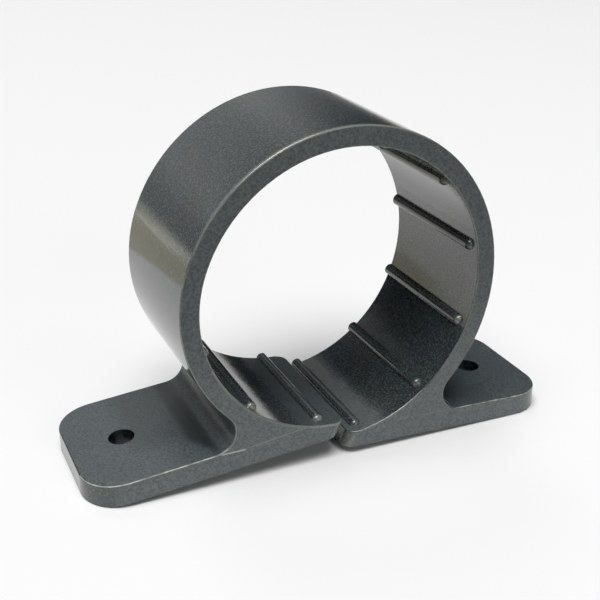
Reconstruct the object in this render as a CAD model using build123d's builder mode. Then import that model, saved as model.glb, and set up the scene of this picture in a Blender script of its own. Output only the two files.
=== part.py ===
from build123d import *
from math import asin, cos, degrees, radians, sin, sqrt, tan
import os

os.makedirs("parts", exist_ok=True)

# Two-hole pipe strap, moulded in one piece: a sprung ring on two feet, split under the bore so
# that it can be opened over a pipe, with ribs along the bore that carry the pipe.
# The origin is under the bore's axis, halfway along the bore, on the surface that the feet stand
# on. +X runs along the feet, +Z is up and the bore runs along Y. Millimetres and degrees.

# Ring and bore
pipe_diameter = 48.3        # outside diameter of the pipe, which the rib crests touch
wall = 3.25                 # thickness of the ring
band_width = 27.5           # along the bore
bore_draft = 0.15           # the bore opens towards the back, where the core pulled out

# Ribs
rib_height = 0.9            # from the bore's wall to a rib's crest
rib_width = 2.1
rib_pitch = 31.0            # angle from one rib to the next
ribs_each_side = 6
rib_setback = 1.7           # from the front face to a rib's rounded nose

# Feet
foot_reach = 44.4           # from the bore's axis to a foot's outer edge
foot_thickness = 3.9
foot_end_draft = 6.0        # the outer end leans in towards its top
foot_corner = 6.8           # plan radius of the outer corners
hole_diameter = 4.5
hole_offset = 34.8          # from the bore's axis to each screw hole
floor = 2.65                # plastic left under the bore
heel_radius = 3.8           # hollow corner between a foot and the ring

# The strap is loose, with no pipe and no screws: both feet slope up to the split, and the left
# end of the ring has sprung up over the right one.
left_tilt = 5.6
right_tilt = 1.9
right_drop = 0.75           # the right lower quarter hangs this far below a true circle
flank_spread = 20.0         # each flank bends this far above and below the level of the axis
left_turn = 1.9             # the bend has carried the left quarter's ribs this far round

# Split
split_offset = 1.0          # from the bore's axis to the split's middle, at the bore's lowest point
split_gap = 1.95            # across the split, along X
split_slant = 23.0          # both faces of the split lean to the right as they rise
end_corner = 2.2            # plan radius of the ring's two ends

edge_radius = 0.3           # moulded edges of the ring, and of the tops of the feet

# Sizes worked out from the ones above
bore_radius = pipe_diameter / 2 + rib_height
ring_radius = bore_radius + wall
rib_radius = rib_width / 2
bore_bottom = floor + foot_reach * tan(radians(right_tilt))
axis_height = bore_bottom + right_drop + bore_radius
left_lift = foot_reach * tan(radians(left_tilt)) + floor + bore_radius - axis_height
past_split = 2 * split_gap          # the feet are drawn this far past the axis, then cut back
margin = wall + foot_thickness      # cuts run this far past the plastic


class Foot:
    """One side of the strap: side is -1 on the left and 1 on the right."""

    def __init__(self, side, tilt, lift):
        self.side = side
        self.lift = lift
        self.outer_edge = Vector(side * foot_reach, 0)
        self.inward = Vector(-side * cos(radians(tilt)), sin(radians(tilt)))
        self.up = Vector(side * sin(radians(tilt)), cos(radians(tilt)))
        self.ring_centre = Vector(0, axis_height + lift)

    def at(self, x, height=0.0):
        """Point of the foot over x, this far above its underside."""
        along = (foot_reach - self.side * x) / abs(self.inward.X)
        return self.outer_edge + self.inward * along + self.up * height

    def heel(self):
        """Where the foot's top meets the ring's outside."""
        top = self.outer_edge + self.up * foot_thickness
        below = (top - self.ring_centre).dot(self.up)
        return self.ring_centre + self.up * below - self.inward * sqrt(ring_radius**2 - below**2)


left = Foot(-1, left_tilt, left_lift)
right = Foot(1, right_tilt, -right_drop)


def outward(angle):
    return Vector(cos(radians(angle)), sin(radians(angle)))


def arc_centre(angle):
    """Centre of the ring's wall where it faces this way, and how much tighter it is bent there."""
    foot = right if angle < 90 else left
    past_level = angle if angle < 90 else 180 - angle
    if past_level < -flank_spread:
        return foot.ring_centre, 0.0
    if past_level > flank_spread:
        return Vector(0, axis_height), 0.0
    tighter = foot.lift / (2 * sin(radians(flank_spread)))
    flank_top = 90 - foot.side * (90 - flank_spread)
    return Vector(0, axis_height) + outward(flank_top) * tighter, tighter


def ring_arcs(radius, start, stop):
    """The ring's wall at this radius, from the right end of the ring over its top to the left end."""
    bends = [start, -flank_spread, flank_spread, 180 - flank_spread, 180 + flank_spread, stop]
    for first, last in zip(bends, bends[1:]):
        centre, tighter = arc_centre((first + last) / 2)
        CenterArc((centre.X, centre.Y), radius - tighter, first, last - first)


def split_x(height):
    return split_offset + (height - bore_bottom) * tan(radians(split_slant))


def on_split(height, shift=0.0):
    return (split_x(height) + shift, height)


def in_bore(point):
    """Whether a point lies nearer to the bore's axis than the middle of the ring's wall."""
    return sqrt(point.X**2 + (point.Z - axis_height) ** 2) < bore_radius + wall / 2


# One rib, with its rounded nose at the origin and its length along +Z
with BuildPart() as rib:
    with BuildSketch(Plane.XZ) as rib_half:
        with BuildLine():
            CenterArc((0, rib_radius), rib_radius, -90, 90)
            Polyline((rib_radius, rib_radius), (rib_radius, band_width), (0, band_width), (0, 0))
        make_face()
    revolve(axis=Axis.Z)


def rib_plane(angle):
    """Plane of a rib's nose, square to the rib."""
    centre, tighter = arc_centre(angle)
    way = outward(angle)
    nose = centre + way * (bore_radius - tighter - rib_height + rib_radius)
    run = Vector(way.X * sin(radians(bore_draft)), cos(radians(bore_draft)),
                 way.Y * sin(radians(bore_draft)))
    return Plane(origin=(nose.X, rib_setback - band_width / 2, nose.Y),
                 x_dir=(-way.Y, 0, way.X), z_dir=run)


rib_angles = []
for count in range(ribs_each_side):
    from_top = (count + 0.5) * rib_pitch
    turn = left_turn if from_top > 90 + flank_spread else 0.0
    rib_angles += [90 - from_top, 90 + from_top + turn]

with BuildPart() as strap:
    # Side view of the strap, with the bore still solid
    with BuildSketch(Plane.XZ) as side_view:
        with BuildLine():
            ring_arcs(ring_radius, -90, 270)
            Line((0, right.ring_centre.Y - ring_radius), (0, left.ring_centre.Y - ring_radius))
        make_face()
        for foot in (left, right):
            lean = foot.inward * foot_thickness * tan(radians(foot_end_draft))
            inner = -foot.side * past_split
            with BuildLine():
                Polyline(
                    foot.outer_edge,
                    foot.at(inner),
                    foot.at(inner, foot_thickness),
                    foot.outer_edge + foot.up * foot_thickness + lean,
                    close=True,
                )
            make_face()
        for foot in (left, right):
            fillet(side_view.vertices().sort_by_distance(foot.heel())[0], heel_radius)
        # The ring is cut flat under the feet
        for foot in (left, right):
            with BuildLine():
                Polyline(
                    foot.outer_edge - foot.inward * margin,
                    foot.at(split_x(foot.at(0).Y)),
                    on_split(-margin),
                    foot.outer_edge - foot.inward * margin - foot.up * margin,
                    close=True,
                )
            make_face(mode=Mode.SUBTRACT)
        with BuildLine():
            Polyline(
                on_split(-margin, -split_gap / 2),
                on_split(axis_height, -split_gap / 2),
                on_split(axis_height, split_gap / 2),
                on_split(-margin, split_gap / 2),
                close=True,
            )
        make_face(mode=Mode.SUBTRACT)
    extrude(amount=band_width / 2, both=True)

    # Rounded outer corners of the feet
    end_faces = strap.faces().sort_by(Axis.X)
    for end_face in (end_faces[0], end_faces[-1]):
        corners = end_face.edges().group_by(Axis.Y)
        fillet(corners[0] + corners[-1], foot_corner)

    # Moulded edge round the ring and the tops of the feet
    rim = strap.faces().filter_by(Axis.Y).edges().filter_by(GeomType.CIRCLE)
    for foot in (left, right):
        middle = foot.at(foot.side * hole_offset, foot_thickness)
        top = strap.faces().sort_by_distance((middle.X, 0, middle.Y))[0]
        rim += top.edges().sort_by(lambda edge: -abs(edge.center().X))[:-1]
    fillet(rim, edge_radius)

    # Screw holes, square to the feet
    for foot in (left, right):
        seat = foot.at(foot.side * hole_offset)
        with BuildSketch(Plane((seat.X, 0, seat.Y), (1, 0, 0), (foot.up.X, 0, foot.up.Y))):
            Circle(hole_diameter / 2)
        extrude(amount=foot_thickness + edge_radius, both=True, mode=Mode.SUBTRACT)

    # The bore at the front face, which steps down along the split
    step_top = bore_bottom + right_drop + left_lift
    with BuildSketch(Plane.XZ.offset(band_width / 2)) as bore:
        with BuildLine():
            first = degrees(asin(split_x(bore_bottom) / bore_radius)) - 90
            last = degrees(asin(split_x(step_top) / bore_radius)) + 270
            ring_arcs(bore_radius, first, last)
            ends = [arc_centre(a)[0] + outward(a) * bore_radius for a in (first, last)]
            Line(*ends)
        make_face()
    extrude(amount=-band_width, taper=-bore_draft, mode=Mode.SUBTRACT)

    # Rounded corners of the ring's two ends
    split_axis = Axis((0, 0, 0), (cos(radians(split_slant)), 0, -sin(radians(split_slant))))
    for end_face in strap.faces().filter_by(split_axis):
        corners = end_face.edges().group_by(Axis.Y)
        fillet(corners[0] + corners[-1], end_corner)

    # Moulded edge round the bore and over the two ends
    mouth = strap.faces().filter_by(Axis.Y).edges().filter_by(GeomType.CIRCLE)
    fillet(mouth.filter_by(lambda edge: in_bore(edge.center())), edge_radius)

    # Ribs, which run out at the back face
    with Locations(*[rib_plane(angle) for angle in rib_angles]):
        add(rib.part)
    split(bisect_by=Plane.XZ.offset(-band_width / 2), keep=Keep.TOP)

strap.part.label = "strap"
export_step(strap.part, "parts/strap.step")
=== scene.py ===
import math

import bmesh
import bpy
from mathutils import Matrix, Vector, noise


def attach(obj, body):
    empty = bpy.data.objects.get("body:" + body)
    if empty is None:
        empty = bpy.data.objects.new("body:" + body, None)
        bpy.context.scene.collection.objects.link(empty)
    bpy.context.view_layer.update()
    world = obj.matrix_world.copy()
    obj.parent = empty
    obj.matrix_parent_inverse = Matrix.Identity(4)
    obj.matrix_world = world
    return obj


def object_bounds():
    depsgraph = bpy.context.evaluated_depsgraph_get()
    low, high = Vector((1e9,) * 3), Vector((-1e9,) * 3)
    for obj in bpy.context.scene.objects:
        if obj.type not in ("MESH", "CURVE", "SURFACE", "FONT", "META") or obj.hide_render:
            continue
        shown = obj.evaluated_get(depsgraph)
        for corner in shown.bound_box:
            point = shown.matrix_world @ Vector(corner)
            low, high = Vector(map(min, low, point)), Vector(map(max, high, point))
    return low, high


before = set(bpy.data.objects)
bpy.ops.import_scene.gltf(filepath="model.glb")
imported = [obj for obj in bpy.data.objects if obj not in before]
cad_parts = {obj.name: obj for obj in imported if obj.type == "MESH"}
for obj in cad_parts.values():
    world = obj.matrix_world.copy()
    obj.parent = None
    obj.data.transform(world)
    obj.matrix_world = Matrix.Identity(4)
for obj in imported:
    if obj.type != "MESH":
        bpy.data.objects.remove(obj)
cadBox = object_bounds()
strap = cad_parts["strap"]
millimetre = 0.001
print("strap loaded")

# The camera looks down at the strap from its front left. The photo is a crop, which the lens
# shift follows
photoCamera = {
    "location": (-0.06831, -0.14189, 0.09584),
    "turn": (60.308, -0.618, -23.874),      # degrees
    "lens": 59.06,
    "sensor": 36.0,
    "shift": (0.0253, 0.1514),
    "clip": (0.01, 20.0),
}

cameraData = bpy.data.cameras.new("photoCamera")
cameraData.lens = photoCamera["lens"]
cameraData.sensor_width = photoCamera["sensor"]
cameraData.shift_x, cameraData.shift_y = photoCamera["shift"]
cameraData.clip_start, cameraData.clip_end = photoCamera["clip"]
camera = bpy.data.objects.new("photoCamera", cameraData)
camera.location = photoCamera["location"]
camera.rotation_euler = [math.radians(angle) for angle in photoCamera["turn"]]
bpy.context.scene.collection.objects.link(camera)
bpy.context.scene.camera = camera
bpy.context.scene.view_settings.view_transform = "Standard"
print("camera placed")


# Node helpers. A value is either a socket, which is linked, or a number or colour, which is set

def feed(tree, socket, value):
    if hasattr(value, "links"):
        tree.links.new(value, socket)
    else:
        socket.default_value = value


def placeNode(tree, kind, at, **settings):
    node = tree.nodes.new(kind)
    node.location = at
    for name, value in settings.items():
        setattr(node, name, value)
    return node


def mathNode(tree, operation, at, *values):
    node = placeNode(tree, "ShaderNodeMath", at, operation=operation)
    for index, value in enumerate(values):
        feed(tree, node.inputs[index], value)
    return node.outputs[0]


def vectorNode(tree, operation, at, *values):
    node = placeNode(tree, "ShaderNodeVectorMath", at, operation=operation)
    for index, value in enumerate(values):
        feed(tree, node.inputs[index], value)
    return node.outputs["Value" if operation in ("LENGTH", "DOT_PRODUCT") else "Vector"]


def splitVector(tree, at, vector):
    node = placeNode(tree, "ShaderNodeSeparateXYZ", at)
    feed(tree, node.inputs["Vector"], vector)
    return node.outputs


def joinVector(tree, at, **parts):
    node = placeNode(tree, "ShaderNodeCombineXYZ", at)
    for axis, value in parts.items():
        feed(tree, node.inputs[axis], value)
    return node.outputs["Vector"]


def mapRange(tree, value, at, low, high, newLow=0.0, newHigh=1.0, kind="SMOOTHSTEP"):
    node = placeNode(tree, "ShaderNodeMapRange", at, interpolation_type=kind)
    feed(tree, node.inputs["Value"], value)
    for name, number in (("From Min", low), ("From Max", high), ("To Min", newLow), ("To Max", newHigh)):
        feed(tree, node.inputs[name], number)
    return node.outputs["Result"]


def noiseTexture(tree, at, place, size, detail):
    scale = mathNode(tree, "DIVIDE", (at[0] - 200, at[1] - 100), 1.0, size)
    node = placeNode(tree, "ShaderNodeTexNoise", at)
    for name, value in (("Vector", place), ("Scale", scale), ("Detail", detail)):
        feed(tree, node.inputs[name], value)
    return node.outputs["Fac"]


# A Mix node's colours are its inputs 6 and 7, and the mixed colour is its output 2
def mixColour(tree, at, share, first, second):
    node = placeNode(tree, "ShaderNodeMix", at, data_type="RGBA")
    for index, value in ((0, share), (6, first), (7, second)):
        feed(tree, node.inputs[index], value)
    return node.outputs[2]


# The way from the bore's axis to a point, seen along the bore
def armFromAxis(tree, at, place, axisHeight):
    above = mathNode(tree, "SUBTRACT", at, place["Z"], axisHeight)
    return joinVector(tree, (at[0] + 200, at[1]), X=place["X"], Z=above)


def newGroup(name, inputs, outputs):
    group = bpy.data.node_groups.new(name, "ShaderNodeTree")
    for socketName, default in inputs.items():
        kind = "NodeSocketVector" if isinstance(default, tuple) else "NodeSocketFloat"
        socket = group.interface.new_socket(name=socketName, in_out="INPUT", socket_type=kind)
        socket.default_value = default
    for socketName in outputs:
        group.interface.new_socket(name=socketName, in_out="OUTPUT", socket_type="NodeSocketFloat")
    start = placeNode(group, "NodeGroupInput", (-1300, 0))
    end = placeNode(group, "NodeGroupOutput", (900, 0))
    return group, start.outputs, end.inputs


def useGroup(tree, group, at, values):
    node = placeNode(tree, "ShaderNodeGroup", at, node_tree=group, label=group.name)
    for name, value in values.items():
        feed(tree, node.inputs[name], value)
    return node.outputs


# The two inputs of a group that say where one of its masks begins and where it is full
def fromTo(name, pair):
    return {name + " From": pair[0], name + " To": pair[1]}


# Fine grain: the faint roughness of a moulded surface, and the specks that show with it
def buildFineGrain():
    group, start, end = newGroup(
        "fineGrain",
        {"Grain Size": 0.0002, "Speck Size": 0.0004, "Speck From": 0.3, "Speck To": 0.7},
        ["Height", "Specks"],
    )
    place = placeNode(group, "ShaderNodeNewGeometry", (-1000, 300)).outputs["Position"]
    grain = noiseTexture(group, (-400, 200), place, start["Grain Size"], detail=2.0)
    specks = noiseTexture(group, (-400, -200), place, start["Speck Size"], detail=1.0)
    feed(group, end["Height"], grain)
    feed(group, end["Specks"], mapRange(group, specks, (0, -200), start["Speck From"], start["Speck To"]))
    return group


# Soft clouds of tint that moulded plastic shows
def buildTintClouds():
    group, start, end = newGroup(
        "tintClouds",
        {"Cloud Size": 0.006, "Offset": 0.0, "Cloud From": 0.32, "Cloud To": 0.68},
        ["Mask"],
    )
    place = placeNode(group, "ShaderNodeNewGeometry", (-1000, 300)).outputs["Position"]
    shifted = vectorNode(group, "ADD", (-700, 300), place, start["Offset"])
    clouds = noiseTexture(group, (-300, 200), shifted, start["Cloud Size"], detail=2.0)
    feed(group, end["Mask"], mapRange(group, clouds, (100, 200), start["Cloud From"], start["Cloud To"]))
    return group


# Edge wear and highlight: a mask on the rounded edges and rib noses, where the normal turns away
# from the flat front and from the bore's skin, broken up in long patches. The pale colour laid
# there is partly wear and partly a painted highlight
def buildEdgeWearAndHighlight():
    group, start, end = newGroup(
        "edgeWearAndHighlight",
        {"Patch Size": 0.008, "Break Up": 0.5, "Edge From": 0.02, "Edge To": 0.16,
         "Patch From": 0.35, "Patch To": 0.65},
        ["Mask"],
    )
    shape = placeNode(group, "ShaderNodeNewGeometry", (-1000, 200)).outputs
    facing = splitVector(group, (-700, 200), shape["Normal"])
    square = mathNode(group, "MULTIPLY", (-500, 200), facing["Y"], facing["Y"])
    across = mathNode(group, "SUBTRACT", (-300, 300), 1.0, square)
    turned = mathNode(group, "MULTIPLY", (-100, 200), square, across)
    edge = mapRange(group, turned, (100, 200), start["Edge From"], start["Edge To"])
    patches = noiseTexture(group, (-300, -200), shape["Position"], start["Patch Size"], detail=3.0)
    patchMask = mapRange(group, patches, (-50, -200), start["Patch From"], start["Patch To"])
    kept = mathNode(group, "MULTIPLY", (200, -200), start["Break Up"], patchMask)
    share = mathNode(group, "SUBTRACT", (400, -100), 1.0, kept)
    feed(group, end["Mask"], mathNode(group, "MULTIPLY", (600, 0), edge, share))
    return group


# Rim line: a painted highlight on the ring's outer front edge and a narrow band behind it, where
# the ring faces the way given. The band is measured in widths
def buildRimLine():
    group, start, end = newGroup(
        "rimLine",
        {"Front": -0.01375, "Width": 0.0005, "Band From": 1.4, "Band To": 0.4,
         "Axis Height": 0.030, "Inner Radius": 0.027,
         "Way": (-0.30, 0.0, 0.95), "Way From": 0.45, "Way To": 0.95},
        ["Mask"],
    )
    shape = placeNode(group, "ShaderNodeNewGeometry", (-1000, 200)).outputs
    place = splitVector(group, (-700, 200), shape["Position"])
    behind = mathNode(group, "SUBTRACT", (-500, 300), place["Y"], start["Front"])
    inBand = mathNode(group, "DIVIDE", (-300, 300), behind, start["Width"])
    band = mapRange(group, inBand, (-100, 300), start["Band From"], start["Band To"])
    arm = armFromAxis(group, (-500, 0), place, start["Axis Height"])
    reach = vectorNode(group, "LENGTH", (-100, 100), arm)
    outside = mathNode(group, "GREATER_THAN", (100, 100), reach, start["Inner Radius"])
    unitArm = vectorNode(group, "NORMALIZE", (-100, -100), arm)
    lean = vectorNode(group, "DOT_PRODUCT", (100, -100), unitArm, start["Way"])
    thisWay = mapRange(group, lean, (300, -100), start["Way From"], start["Way To"])
    onRing = mathNode(group, "MULTIPLY", (500, 200), band, outside)
    feed(group, end["Mask"], mathNode(group, "MULTIPLY", (700, 0), onRing, thisWay))
    return group


# Bore line: a painted highlight on the front edge of the bore round its lower left quarter, which
# has sprung up. It is measured in widths outwards from the bore
def buildBoreLine():
    group, start, end = newGroup(
        "boreLine",
        {"Axis Height": 0.030, "Radius": 0.025, "Width": 0.0004, "Line From": 1.3, "Line To": 0.6,
         "Below": 0.022, "Left Of": 0.012},
        ["Mask"],
    )
    shape = placeNode(group, "ShaderNodeNewGeometry", (-1000, 200)).outputs
    place = splitVector(group, (-700, 200), shape["Position"])
    arm = armFromAxis(group, (-500, 0), place, start["Axis Height"])
    reach = vectorNode(group, "LENGTH", (-100, 0), arm)
    past = mathNode(group, "SUBTRACT", (100, 0), reach, start["Radius"])
    share = mathNode(group, "DIVIDE", (250, 0), past, start["Width"])
    line = mapRange(group, share, (400, 0), start["Line From"], start["Line To"])
    below = mathNode(group, "LESS_THAN", (100, 300), place["Z"], start["Below"])
    left = mathNode(group, "LESS_THAN", (100, 200), place["X"], start["Left Of"])
    quarter = mathNode(group, "MULTIPLY", (300, 250), below, left)
    feed(group, end["Mask"], mathNode(group, "MULTIPLY", (600, 100), line, quarter))
    return group


# Where a point lies on a foot: millimetres in from its outer edge, and up from its underside
def buildFootPlace():
    group, start, end = newGroup(
        "footPlace",
        {"Outer Edge": (-0.0444, 0.0, 0.0), "Inward": (1.0, 0.0, 0.0), "Up": (0.0, 0.0, 1.0)},
        ["Along", "Height"],
    )
    place = placeNode(group, "ShaderNodeNewGeometry", (-1000, 200)).outputs["Position"]
    arm = vectorNode(group, "SUBTRACT", (-500, 0), place, start["Outer Edge"])
    for row, way, result in ((100, "Inward", "Along"), (-100, "Up", "Height")):
        reach = vectorNode(group, "DOT_PRODUCT", (-200, row), arm, start[way])
        feed(group, end[result], mathNode(group, "MULTIPLY", (100, row), reach, 1 / millimetre))
    return group


# Parting line: a thin line along a foot's front, at a height that may slope, with soft ends. It
# is measured in half widths away from its middle
def buildPartingLine():
    group, start, end = newGroup(
        "partingLine",
        {"Along": 0.0, "Height": 0.0, "From": 0.0, "To": 10.0, "Start Fade": 0.4, "End Fade": 0.8,
         "Level": 3.7, "Slope": 0.0, "Half Width": 0.08, "Line From": 1.3, "Line To": 0.5},
        ["Mask"],
    )
    past = mathNode(group, "SUBTRACT", (-600, 100), start["Along"], start["From"])
    level = mathNode(group, "MULTIPLY_ADD", (-400, 0), past, start["Slope"], start["Level"])
    above = mathNode(group, "SUBTRACT", (-200, 0), start["Height"], level)
    apart = mathNode(group, "ABSOLUTE", (0, 0), above)
    share = mathNode(group, "DIVIDE", (150, 0), apart, start["Half Width"])
    line = mapRange(group, share, (300, 0), start["Line From"], start["Line To"])
    left = mathNode(group, "SUBTRACT", (-400, -300), start["To"], start["Along"])
    begin = mapRange(group, past, (-200, 300), 0.0, start["Start Fade"])
    finish = mapRange(group, left, (-200, -300), 0.0, start["End Fade"])
    ends = mathNode(group, "MULTIPLY", (300, 200), begin, finish)
    feed(group, end["Mask"], mathNode(group, "MULTIPLY", (600, 0), line, ends))
    return group


# Heel shade: painted shade on the top of a foot, darker towards the ring, softly at first and only
# towards the back, and then in a band before the hollow, which starts further in near the front
def buildHeelShade():
    group, start, end = newGroup(
        "heelShade",
        {"Along": 0.0, "Soft From": 8.5, "Soft To": 13.0, "Soft Share": 0.36,
         "Back From": -0.009, "Back To": -0.003,
         "Band From": 18.0, "Band To": 20.4, "Band Share": 0.85,
         "Lag From": -0.0065, "Lag To": -0.0125, "Lag": 3.5},
        ["Mask"],
    )
    shape = placeNode(group, "ShaderNodeNewGeometry", (-1000, 200)).outputs
    place = splitVector(group, (-800, 200), shape["Position"])
    soft = mapRange(group, start["Along"], (-300, 300), start["Soft From"], start["Soft To"],
                    0.0, start["Soft Share"])
    back = mapRange(group, place["Y"], (-300, 100), start["Back From"], start["Back To"])
    softBack = mathNode(group, "MULTIPLY", (0, 200), soft, back)
    lag = mapRange(group, place["Y"], (-700, -300), start["Lag From"], start["Lag To"],
                   0.0, start["Lag"], kind="LINEAR")
    late = mathNode(group, "SUBTRACT", (-500, -200), start["Along"], lag)
    band = mapRange(group, late, (-300, -100), start["Band From"], start["Band To"],
                    0.0, start["Band Share"])
    feed(group, end["Mask"], mathNode(group, "MAXIMUM", (300, 0), softBack, band))
    return group


fineGrain = buildFineGrain()
tintClouds = buildTintClouds()
edgeWearAndHighlight = buildEdgeWearAndHighlight()
rimLine = buildRimLine()
boreLine = buildBoreLine()
footPlace = buildFootPlace()
partingLine = buildPartingLine()
heelShade = buildHeelShade()
print("finish groups made")

# The strap's two feet, as the part has them, in millimetres and degrees
feet = {
    "left": {"side": -1.0, "tilt": 5.6},
    "right": {"side": 1.0, "tilt": 1.9},
    "reach": 44.4,              # from the bore's axis to the outer edge of a foot
    "thickness": 3.9,
    "corner": 6.8,              # plan radius of the outer corners
    "endLean": 0.41,            # the end leans in by this much at its top
    "edgeRadius": 0.3,
    "holeAlong": 9.6,           # from the outer edge to a screw hole
}

# Lengths are metres, but millimetres where they run along a foot. A pair says where a mask begins
# and where it is full
plasticFinish = {
    # Skin of the ring's outside and of the bore
    "slate": (0.035, 0.047, 0.056, 1.0),
    "warmCloud": (0.044, 0.046, 0.048, 1.0), "warmSize": 0.007,
    "greenCloud": (0.033, 0.049, 0.048, 1.0), "greenSize": 0.004, "greenOffset": 0.31,
    "greenShare": 0.6,
    "paleSpeck": (0.118, 0.128, 0.127, 1.0), "paleSpeckFade": (0.55, 1.0),
    "darkSpeck": (0.014, 0.019, 0.022, 1.0), "darkSpeckFade": (0.45, 0.0),
    "speckSize": 0.00034, "speckShare": 0.55,
    "grainSize": 0.00026, "grainStrength": 0.5, "grainDepth": 0.000022,
    "skinRoughness": 0.07, "cloudRoughness": 0.03,
    "indexOfRefraction": 1.75, "specularTint": (1.0, 1.0, 0.93, 1.0),
    # Satin faces, from a duller part of the mould: front, back and the tops of the feet
    "satin": (0.074, 0.092, 0.101, 1.0), "satinShare": 0.75, "satinRoughness": 0.36,
    "squareFade": (0.90, 0.99),             # how squarely a face looks along the bore
    "levelFade": (0.90, 0.994),             # and how squarely it looks up
    "footTopFade": (0.009, 0.008),          # the tops of the feet lie below this
    # The hollow of the left heel is satin too
    "hollowStart": (21.7, 22.5), "hollowTop": (0.0137, 0.0122), "hollowLeftOf": -0.0175,
    # Edges pale from handling and from a painted highlight, but not the upright corners of the feet
    "paleWearAndHighlight": (0.34, 0.36, 0.32, 1.0), "paleWearAndHighlightShare": 0.45, "paleWearAndHighlightPatch": 0.009, "paleWearAndHighlightBreakUp": 0.7,
    "cornerStart": (0.0370, 0.0375), "uprightFade": (0.35, 0.2),
    # Upper ribs, duller than the bore, and darkened with painted shade
    "ribShade": (0.016, 0.021, 0.024, 1.0), "ribShare": 0.75, "ribRoughness": 0.22,
    "ribFade": (0.0248, 0.0246),            # nearer the bore's axis than its wall
    "ribAbove": 0.033,
    "axisHeight": 0.02992, "leftLift": 0.00213,
    # Painted highlight lines on the front edges of the ring and, fainter, of the bore
    "rim": (0.33, 0.35, 0.31, 1.0), "rimShare": 0.40, "rimWidth": 0.0006,
    "mouthShare": 0.32,
    "mouthFacing": 0.3,                     # only where a face looks along the bore more than this
    # Painted shade on the top of the left foot, before the heel
    "heelShade": (0.010, 0.015, 0.019, 1.0), "heelLeftOf": -0.015,
    "heelSoft": (8.5, 13.0), "heelSoftShare": 0.36, "heelBack": (-0.009, -0.003),
    "heelBand": (18.0, 20.4), "heelBandShare": 0.85,
    "heelLagFade": (-0.0065, -0.0125), "heelLag": 3.5,
    # Parting lines on the fronts of the feet, in the pale colour of the edges
    "partingLines": [
        {"foot": "left", "from": 22.8, "to": 27.6, "share": 1.0,
         "level": 3.78, "slope": -0.09, "halfWidth": 0.17},
        {"foot": "left", "from": 27.9, "to": 38.5, "share": 0.40,
         "level": 3.50, "slope": 0.037, "halfWidth": 0.08},
        {"foot": "right", "from": 22.0, "to": 34.0, "share": 0.16,
         "level": 3.90, "slope": 0.0, "halfWidth": 0.07},
    ],
    # Painted shade on the walls of the screw holes
    "holeShade": (0.006, 0.010, 0.012, 1.0), "holeRadius": 0.00232,
}


def newMaterial(name, at):
    material = bpy.data.materials.new(name)
    material.use_nodes = True
    tree = material.node_tree
    shader = tree.nodes["Principled BSDF"]
    shader.location = at
    tree.nodes["Material Output"].location = (at[0] + 300, at[1])
    return material, tree, shader.inputs


# What the finish is placed by: where a point lies, which way it faces, its place on each foot,
# and whether it is on a face square to the bore or on the top of a foot
def readSurface(tree, finish):
    shape = placeNode(tree, "ShaderNodeNewGeometry", (-2400, 0)).outputs
    place = splitVector(tree, (-2200, -200), shape["Position"])
    facing = splitVector(tree, (-2200, 200), shape["Normal"])
    surface = {"place": place, "facing": facing}
    for row, foot in enumerate(("left", "right")):
        side = feet[foot]["side"]
        tilt = math.radians(feet[foot]["tilt"])
        surface[foot] = useGroup(tree, footPlace, (-2200, -500 - 300 * row), {
            "Outer Edge": (side * feet["reach"] * millimetre, 0.0, 0.0),
            "Inward": (-side * math.cos(tilt), 0.0, math.sin(tilt)),
            "Up": (side * math.sin(tilt), 0.0, math.cos(tilt)),
        })
    surface["alongBore"] = mathNode(tree, "ABSOLUTE", (-2000, 300), facing["Y"])
    surface["square"] = mapRange(tree, surface["alongBore"], (-1800, 300), *finish["squareFade"])
    level = mapRange(tree, facing["Z"], (-2000, 100), *finish["levelFade"])
    surface["low"] = mapRange(tree, place["Z"], (-2000, -100), *finish["footTopFade"])
    surface["top"] = mathNode(tree, "MULTIPLY", (-1800, 0), level, surface["low"])
    return surface


def satinMask(tree, finish, surface):
    flat = mathNode(tree, "MAXIMUM", (-1600, 200), surface["square"], surface["top"])
    pastTop = mapRange(tree, surface["left"]["Along"], (-1800, -300), *finish["hollowStart"])
    outerSide = mathNode(tree, "LESS_THAN", (-1800, -500), surface["place"]["X"], finish["hollowLeftOf"])
    lowSide = mapRange(tree, surface["place"]["Z"], (-1800, -700), *finish["hollowTop"])
    hollow = mathNode(tree, "MULTIPLY", (-1600, -400), pastTop, outerSide)
    hollow = mathNode(tree, "MULTIPLY", (-1400, -500), hollow, lowSide)
    return mathNode(tree, "MAXIMUM", (-1200, 0), flat, hollow)


# Skin with clouds, satin faces paler, and the specks of the grain over both
def skinColour(tree, finish, warm, specks, satin):
    green = useGroup(tree, tintClouds, (-1000, 300), {"Cloud Size": finish["greenSize"],
                                                      "Offset": finish["greenOffset"]})
    colour = mixColour(tree, (-800, 600), warm, finish["slate"], finish["warmCloud"])
    greenShare = mathNode(tree, "MULTIPLY", (-800, 300), green["Mask"], finish["greenShare"])
    colour = mixColour(tree, (-600, 600), greenShare, colour, finish["greenCloud"])
    satinShare = mathNode(tree, "MULTIPLY", (-600, 300), satin, finish["satinShare"])
    colour = mixColour(tree, (-400, 600), satinShare, colour, finish["satin"])
    paleShare = mapRange(tree, specks, (-400, 300), *finish["paleSpeckFade"], 0.0, finish["speckShare"])
    colour = mixColour(tree, (-200, 600), paleShare, colour, finish["paleSpeck"])
    darkShare = mapRange(tree, specks, (-200, 300), *finish["darkSpeckFade"], 0.0, finish["speckShare"])
    return mixColour(tree, (0, 600), darkShare, colour, finish["darkSpeck"])


# Pale edges, partly wear and partly a painted highlight, kept off the upright corners of the feet
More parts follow.
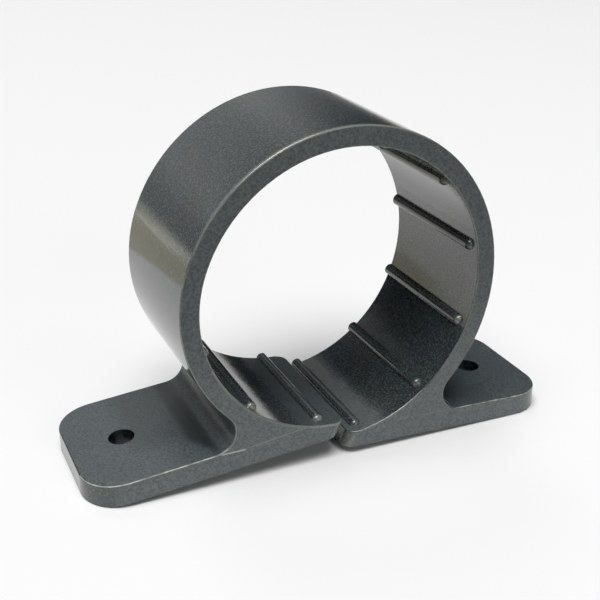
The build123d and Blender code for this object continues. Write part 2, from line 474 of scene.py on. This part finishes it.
def paleWearAndHighlightMask(tree, finish, surface):
    edgeMarks = useGroup(tree, edgeWearAndHighlight, (-1000, -300), {"Patch Size": finish["paleWearAndHighlightPatch"],
                                                  "Break Up": finish["paleWearAndHighlightBreakUp"]})
    out = mathNode(tree, "ABSOLUTE", (-1000, -500), surface["place"]["X"])
    atCorner = mapRange(tree, out, (-800, -500), *finish["cornerStart"])
    lying = mathNode(tree, "ABSOLUTE", (-1000, -700), surface["facing"]["Z"])
    upright = mapRange(tree, lying, (-800, -700), *finish["uprightFade"])
    corner = mathNode(tree, "MULTIPLY", (-600, -600), atCorner, upright)
    notCorner = mathNode(tree, "SUBTRACT", (-400, -600), 1.0, corner)
    return mathNode(tree, "MULTIPLY", (-200, -400), edgeMarks["Mask"], notCorner)


# Upper ribs: duller, and darkened with painted shade
def ribMask(tree, finish, surface):
    arm = armFromAxis(tree, (-1000, -1000), surface["place"], finish["axisHeight"])
    reach = vectorNode(tree, "LENGTH", (-600, -1000), arm)
    inside = mapRange(tree, reach, (-400, -1000), *finish["ribFade"])
    upper = mathNode(tree, "GREATER_THAN", (-400, -1200), surface["place"]["Z"], finish["ribAbove"])
    return mathNode(tree, "MULTIPLY", (-200, -1100), inside, upper)


# Painted highlight along the ring's outer front edge
def rimMask(tree, finish, surface):
    rim = useGroup(tree, rimLine, (-600, -1500), {"Front": cadBox[0][1], "Width": finish["rimWidth"]})
    offFront = mathNode(tree, "SUBTRACT", (-400, -1600), 1.0, surface["square"])
    return mathNode(tree, "MULTIPLY", (-200, -1500), rim["Mask"], offFront)


# Painted highlight along the bore's front edge
def mouthMask(tree, finish, surface):
    sprungAxis = finish["axisHeight"] + finish["leftLift"]
    mouth = useGroup(tree, boreLine, (-600, -1900), {"Axis Height": sprungAxis})
    onEdge = mathNode(tree, "GREATER_THAN", (-400, -2000), surface["alongBore"], finish["mouthFacing"])
    return mathNode(tree, "MULTIPLY", (-200, -1900), mouth["Mask"], onEdge)


# Painted shade on the left foot's top, towards the ring
def heelMask(tree, finish, surface):
    shade = useGroup(tree, heelShade, (-600, -2300), {
        "Along": surface["left"]["Along"],
        **fromTo("Soft", finish["heelSoft"]), "Soft Share": finish["heelSoftShare"],
        **fromTo("Back", finish["heelBack"]),
        **fromTo("Band", finish["heelBand"]), "Band Share": finish["heelBandShare"],
        **fromTo("Lag", finish["heelLagFade"]), "Lag": finish["heelLag"],
    })
    onTop = mathNode(tree, "MULTIPLY", (-400, -2300), shade["Mask"], surface["top"])
    onLeft = mathNode(tree, "LESS_THAN", (-400, -2500), surface["place"]["X"], finish["heelLeftOf"])
    return mathNode(tree, "MULTIPLY", (-200, -2400), onTop, onLeft)


def partingMask(tree, at, line, surface):
    foot = surface[line["foot"]]
    mark = useGroup(tree, partingLine, at, {
        "Along": foot["Along"], "Height": foot["Height"], "From": line["from"], "To": line["to"],
        "Level": line["level"], "Slope": line["slope"], "Half Width": line["halfWidth"],
    })
    return mathNode(tree, "MULTIPLY", (at[0] + 200, at[1]), mark["Mask"], surface["square"])


# Painted shade on the wall of a foot's screw hole
def holeMask(tree, at, foot, finish, surface):
    x, y = at
    past = mathNode(tree, "SUBTRACT", (x, y), surface[foot]["Along"], feet["holeAlong"])
    fromHole = mathNode(tree, "MULTIPLY", (x + 200, y), past, millimetre)
    arm = joinVector(tree, (x + 400, y), X=fromHole, Y=surface["place"]["Y"])
    reach = vectorNode(tree, "LENGTH", (x + 600, y), arm)
    inHole = mathNode(tree, "LESS_THAN", (x + 800, y), reach, finish["holeRadius"])
    outward = mathNode(tree, "MULTIPLY", (x + 600, y - 200), surface["place"]["X"], feet[foot]["side"])
    thisSide = mathNode(tree, "GREATER_THAN", (x + 800, y - 200), outward, 0.0)
    onFoot = mathNode(tree, "MULTIPLY", (x + 1000, y), inHole, thisSide)
    return mathNode(tree, "MULTIPLY", (x + 1200, y), onFoot, surface["low"])


def plasticMaterial(name, finish):
    material, tree, shader = newMaterial(name, (2600, 300))
    surface = readSurface(tree, finish)
    satin = satinMask(tree, finish, surface)
    ribs = ribMask(tree, finish, surface)
    grain = useGroup(tree, fineGrain, (-1000, 0), {"Grain Size": finish["grainSize"],
                                                   "Speck Size": finish["speckSize"]})
    warm = useGroup(tree, tintClouds, (-1000, 600), {"Cloud Size": finish["warmSize"]})
    colour = skinColour(tree, finish, warm["Mask"], grain["Specks"], satin)
    # Marks over the skin, each laid on those before it: where, how strongly and in which colour
    marks = [
        (paleWearAndHighlightMask(tree, finish, surface), finish["paleWearAndHighlightShare"], finish["paleWearAndHighlight"]),
        (ribs, finish["ribShare"], finish["ribShade"]),
        (rimMask(tree, finish, surface), finish["rimShare"], finish["rim"]),
        (mouthMask(tree, finish, surface), finish["mouthShare"], finish["rim"]),
        (heelMask(tree, finish, surface), 1.0, finish["heelShade"]),
    ]
    for row, line in enumerate(finish["partingLines"]):
        mask = partingMask(tree, (-400, -2800 - 300 * row), line, surface)
        marks.append((mask, line["share"], finish["paleWearAndHighlight"]))
    for row, foot in enumerate(("left", "right")):
        mask = holeMask(tree, (-1400, -3800 - 400 * row), foot, finish, surface)
        marks.append((mask, 1.0, finish["holeShade"]))
    for column, (mask, share, tint) in enumerate(marks):
        strength = mathNode(tree, "MULTIPLY", (200 + 200 * column, 300), mask, share)
        colour = mixColour(tree, (300 + 200 * column, 600), strength, colour, tint)
    duller = mapRange(tree, satin, (1600, -100), 0.0, 1.0,
                      finish["skinRoughness"], finish["satinRoughness"])
    cloudy = mathNode(tree, "MULTIPLY", (1600, -400), warm["Mask"], finish["cloudRoughness"])
    ribDull = mathNode(tree, "MULTIPLY", (1600, -600), ribs,
                       finish["ribRoughness"] - finish["skinRoughness"])
    uneven = mathNode(tree, "ADD", (1800, -500), cloudy, ribDull)
    bump = placeNode(tree, "ShaderNodeBump", (2300, -200))
    for inputName, value in (("Strength", finish["grainStrength"]), ("Distance", finish["grainDepth"]),
                             ("Height", grain["Height"])):
        feed(tree, bump.inputs[inputName], value)
    feed(tree, shader["Base Color"], colour)
    feed(tree, shader["Roughness"], mathNode(tree, "ADD", (2000, -300), duller, uneven))
    feed(tree, shader["Normal"], bump.outputs["Normal"])
    feed(tree, shader["IOR"], finish["indexOfRefraction"])
    feed(tree, shader["Specular Tint"], finish["specularTint"])
    return material


strap.material_slots[0].material = plasticMaterial("greyPlastic", plasticFinish)
print("plastic on the strap")

# Flash: thin ragged beads that the mould has left along the top front edges of the feet
flashFinish = {
    "pale": (0.50, 0.52, 0.43, 1.0),
    "grey": (0.17, 0.19, 0.18, 1.0),
    "patchSize": 0.0016, "patchOffset": 0.7,
    "roughness": 0.45,
}
flashBeads = {
    "leftFootFlash": {
        "foot": "left",
        "cornerFrom": 2.0, "edgeTo": 27.4,      # degrees round the corner, millimetres along the edge
        "radius": 0.115, "ragged": 0.5,
        "thickFrom": 23.6, "thickTo": 27.4, "thickRadius": 0.17,
        "seed": 3.0,
    },
    "rightFootFlash": {
        "foot": "right",
        "cornerFrom": 40.0, "edgeTo": 22.4,
        "radius": 0.085, "ragged": 0.7,
        "thickFrom": 11.6, "thickTo": 12.8, "thickRadius": 0.15,
        "seed": 11.0,
    },
}
flashForm = {
    "sunk": 0.03,               # millimetres, from the rounded edge to the bead's middle, down and back
    "clearance": 0.01,          # millimetres kept behind the front face
    "cornerStep": 3,            # degrees
    "edgeStep": 0.35,           # millimetres
    "sides": 8,
    "waves": 1.7,               # unevenness along a bead, for each millimetre
    "endShare": 0.3,            # of the radius, at both ends
}


def addObject(name, mesh, material):
    data = bpy.data.meshes.new(name)
    mesh.to_mesh(data)
    mesh.free()
    data.materials.append(material)
    item = bpy.data.objects.new(name, data)
    bpy.context.scene.collection.objects.link(item)
    return item


def footPoint(foot, along, across, height):
    side = feet[foot]["side"]
    tilt = math.radians(feet[foot]["tilt"])
    x = side * (feet["reach"] - along * math.cos(tilt) + height * math.sin(tilt))
    z = along * math.sin(tilt) + height * math.cos(tilt)
    return Vector((x, across, z)) * millimetre


def flashMaterial(name, finish):
    material, tree, shader = newMaterial(name, (0, 0))
    patches = useGroup(tree, tintClouds, (-500, 0), {"Cloud Size": finish["patchSize"],
                                                     "Offset": finish["patchOffset"]})
    feed(tree, shader["Base Color"],
         mixColour(tree, (-250, 0), patches["Mask"], finish["grey"], finish["pale"]))
    feed(tree, shader["Roughness"], finish["roughness"])
    return material


# The bead's middle line, round the corner and then along the edge
def flashPath(bead):
    front = cadBox[0][1] / millimetre
    inset = feet["edgeRadius"] * (1 - math.sqrt(0.5)) + flashForm["sunk"]
    turn = feet["corner"] - inset
    middle = feet["endLean"] + feet["corner"]
    points = []
    angle = bead["cornerFrom"]
    while angle < 90:
        along = middle - turn * math.cos(math.radians(angle))
        points.append((along, front + feet["corner"] - turn * math.sin(math.radians(angle))))
        angle += flashForm["cornerStep"]
    along = middle
    while along < bead["edgeTo"]:
        points.append((along, front + inset))
        along += flashForm["edgeStep"]
    height = feet["thickness"] - inset
    return [(along, footPoint(bead["foot"], along, across, height)) for along, across in points]


def flashRadius(bead, along, atEnd):
    thick = bead["thickFrom"] < along < bead["thickTo"]
    radius = bead["thickRadius"] if thick else bead["radius"]
    radius *= 1 + bead["ragged"] * noise.noise(Vector((along * flashForm["waves"], bead["seed"], 0.0)))
    return radius * flashForm["endShare"] if atEnd else radius


def addFlash(name, bead, material):
    path = flashPath(bead)
    sides = flashForm["sides"]
    mesh = bmesh.new()
    rings = []
    for index, (along, point) in enumerate(path):
        before = path[max(index - 1, 0)][1]
        after = path[min(index + 1, len(path) - 1)][1]
        way = (after - before).normalized()
        sideways = way.cross(Vector((0, 0, 1))).normalized()
        upward = sideways.cross(way)
        radius = flashRadius(bead, along, index in (0, len(path) - 1))
        corners = []
        for step in range(sides):
            turn = math.radians(360 / sides * step)
            offset = sideways * math.cos(turn) + upward * math.sin(turn)
            place = point + offset * radius * millimetre
            place.y = max(place.y, cadBox[0][1] + flashForm["clearance"] * millimetre)
            corners.append(mesh.verts.new(place))
        rings.append(corners)
    for first, second in zip(rings, rings[1:]):
        for step in range(sides):
            nextStep = (step + 1) % sides
            mesh.faces.new((first[step], first[nextStep], second[nextStep], second[step]))
    mesh.faces.new(rings[0][::-1])
    mesh.faces.new(rings[-1])
    bmesh.ops.recalc_face_normals(mesh, faces=mesh.faces)
    item = addObject(name, mesh, material)
    item.data.shade_smooth()
    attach(item, "root")


paleFlash = flashMaterial("paleFlash", flashFinish)
for beadName, beadSettings in flashBeads.items():
    addFlash(beadName, beadSettings, paleFlash)
print("flash along the feet")

# Studio: a pale floor, soft lamps and a dim room
studio = {
    "floorSize": 5.0,
    "floorColour": (0.88, 0.88, 0.88, 1.0),
    "dullRoughness": 0.9,                   # floor and cards
    "roomColour": (0.035, 0.036, 0.037, 1.0),
    "roomStrength": 0.3,
    "lamps": {
        "frontSoft": {"at": (0.15, -0.70, 0.28), "aim": (0.0, 0.0, 0.02), "size": 0.45, "power": 1.05},
        "backSoft": {"at": (-0.05, 1.55, 2.15), "aim": (0.0, 0.0, 0.0), "size": 0.8, "power": 4.4},
        "topSoft": {"at": (-1.0, -0.85, 4.6), "aim": (0.0, 0.0, 0.0), "size": 3.6, "power": 268.0},
    },
    # The studio's wall behind the strap shows in the ring's skin as a soft patch of light. Its
    # edges are written as slopes, sideways and up, for each metre away from the strap
    "wall": {
        "distance": 2.0,
        "left": -0.90, "right": 0.90, "height": 1.20,
        "leftFade": (-0.68, -0.52), "leftLean": 0.0,
        "rightFade": (0.75, 0.46), "rightLean": 0.55,
        "topFade": (0.85, 0.35), "topLean": -0.10,
        "footFade": (0.10, 0.32), "footShare": 0.55,
        "glow": 0.50,
    },
    # Cards outside the picture that show in the skin too: the dull desk past the ends of the
    # pale sheet under the strap, and the bright foot of the wall with a dark card before it as painted
    # shadow
    "cards": {
        "frontDesk": {
            "corners": [(-0.35, -0.045), (-0.35, -0.60), (0.60, -0.60), (0.60, -0.050),
                        (0.032, -0.050), (0.020, -0.068), (-0.030, -0.045)],
            "lift": 0.0004,
            "colour": (0.28, 0.27, 0.25, 1.0),
        },
        "backDesk": {
            "corners": [(-0.050, 0.108), (0.021, 0.53), (0.095, 0.99), (-0.90, 0.99), (-0.90, 0.457)],
            "lift": 0.0004,
            "colour": (0.68, 0.65, 0.50, 1.0),
        },
        "farDesk": {
            "corners": [(0.130, 0.570), (0.430, 0.465), (1.80, 0.465), (1.80, 1.95), (0.130, 1.95)],
            "lift": 0.0004,
            "colour": (0.26, 0.25, 0.22, 1.0),
        },
        "stripShade": {
            "corners": [(-0.360, 0.590), (-0.120, 0.255), (-0.112, 0.238), (-0.336, 0.550)],
            "lift": 0.0006,
            "colour": (0.16, 0.14, 0.11, 1.0),
        },
        # Stands upright on the line between its two corners
        "brightStrip": {
            "corners": [(-0.360, 0.590), (-0.120, 0.255)],
            "lift": 0.0010, "height": 0.0200,
            "colour": (0.90, 0.88, 0.78, 1.0),
            "glow": 1.35,
        },
    },
}


def addLamp(name, lamp):
    data = bpy.data.lights.new(name, "AREA")
    data.shape = "SQUARE"
    data.size = lamp["size"]
    data.energy = lamp["power"]
    item = bpy.data.objects.new(name, data)
    item.location = lamp["at"]
    direction = Vector(lamp["aim"]) - Vector(lamp["at"])
    item.rotation_euler = direction.to_track_quat("-Z", "Y").to_euler()
    bpy.context.scene.collection.objects.link(item)


def addSheet(name, corners, material):
    mesh = bmesh.new()
    mesh.faces.new([mesh.verts.new(corner) for corner in corners])
    return addObject(name, mesh, material)


def dullMaterial(name, colour):
    material, tree, shader = newMaterial(name, (0, 0))
    feed(tree, shader["Base Color"], colour)
    feed(tree, shader["Roughness"], studio["dullRoughness"])
    return material, shader


def addFloor(spec):
    material, shader = dullMaterial("paleFloor", spec["floorColour"])
    shader["Specular IOR Level"].default_value = 0.0
    half = spec["floorSize"] / 2
    corners = [(x * half, y * half, 0.0) for x, y in ((-1, -1), (1, -1), (1, 1), (-1, 1))]
    return addSheet("floor", corners, material)


def wallMaterial(name, wall):
    material = bpy.data.materials.new(name)
    material.use_nodes = True
    tree = material.node_tree
    tree.nodes.clear()
    output = placeNode(tree, "ShaderNodeOutputMaterial", (900, 0))
    glow = placeNode(tree, "ShaderNodeEmission", (700, 0))
    feed(tree, output.inputs["Surface"], glow.outputs["Emission"])
    shape = placeNode(tree, "ShaderNodeNewGeometry", (-1100, 0)).outputs
    place = splitVector(tree, (-900, 0), shape["Position"])
    across = mathNode(tree, "DIVIDE", (-700, 200), place["X"], wall["distance"])
    rise = mathNode(tree, "DIVIDE", (-700, -200), place["Z"], wall["distance"])
    leftEdge = mathNode(tree, "MULTIPLY_ADD", (-500, 400), rise, wall["leftLean"], across)
    rightEdge = mathNode(tree, "MULTIPLY_ADD", (-500, 200), rise, wall["rightLean"], across)
    topEdge = mathNode(tree, "MULTIPLY_ADD", (-500, 0), across, wall["topLean"], rise)
    leftFade = mapRange(tree, leftEdge, (-300, 400), *wall["leftFade"])
    rightFade = mapRange(tree, rightEdge, (-300, 200), *wall["rightFade"])
    topFade = mapRange(tree, topEdge, (-300, 0), *wall["topFade"])
    footFade = mapRange(tree, rise, (-300, -200), *wall["footFade"], newLow=wall["footShare"])
    sides = mathNode(tree, "MULTIPLY", (-100, 300), leftFade, rightFade)
    ends = mathNode(tree, "MULTIPLY", (-100, 0), topFade, footFade)
    patch = mathNode(tree, "MULTIPLY", (100, 100), sides, ends)
    feed(tree, glow.inputs["Strength"], mathNode(tree, "MULTIPLY", (400, 0), patch, wall["glow"]))
    return material


def addWall(wall):
    slopes = [(wall["left"], 0.0), (wall["right"], 0.0), (wall["right"], wall["height"]),
              (wall["left"], wall["height"])]
    corners = [Vector((across, 1.0, rise)) * wall["distance"] for across, rise in slopes]
    item = addSheet("wall", corners, wallMaterial("wallGlow", wall))
    item.visible_camera = False
    return item


# A card lies flat, or stands up from its corners where it has a height, and may glow
def addCard(name, card):
    material, shader = dullMaterial(name, card["colour"])
    if "glow" in card:
        shader["Base Color"].default_value = (0.0, 0.0, 0.0, 1.0)
        shader["Emission Color"].default_value = card["colour"]
        shader["Emission Strength"].default_value = card["glow"]
    corners = [(x, y, card["lift"]) for x, y in card["corners"]]
    if "height" in card:
        corners += [(x, y, card["height"]) for x, y in reversed(card["corners"])]
    return addSheet(name, corners, material)


for lampName, lampSettings in studio["lamps"].items():
    addLamp(lampName, lampSettings)

world = bpy.data.worlds.new("room")
bpy.context.scene.world = world
world.use_nodes = True
background = world.node_tree.nodes["Background"]
background.inputs["Color"].default_value = studio["roomColour"]
background.inputs["Strength"].default_value = studio["roomStrength"]

floor = addFloor(studio)
addWall(studio["wall"])
for cardName, cardSettings in studio["cards"].items():
    addCard(cardName, cardSettings)
print("studio ready")
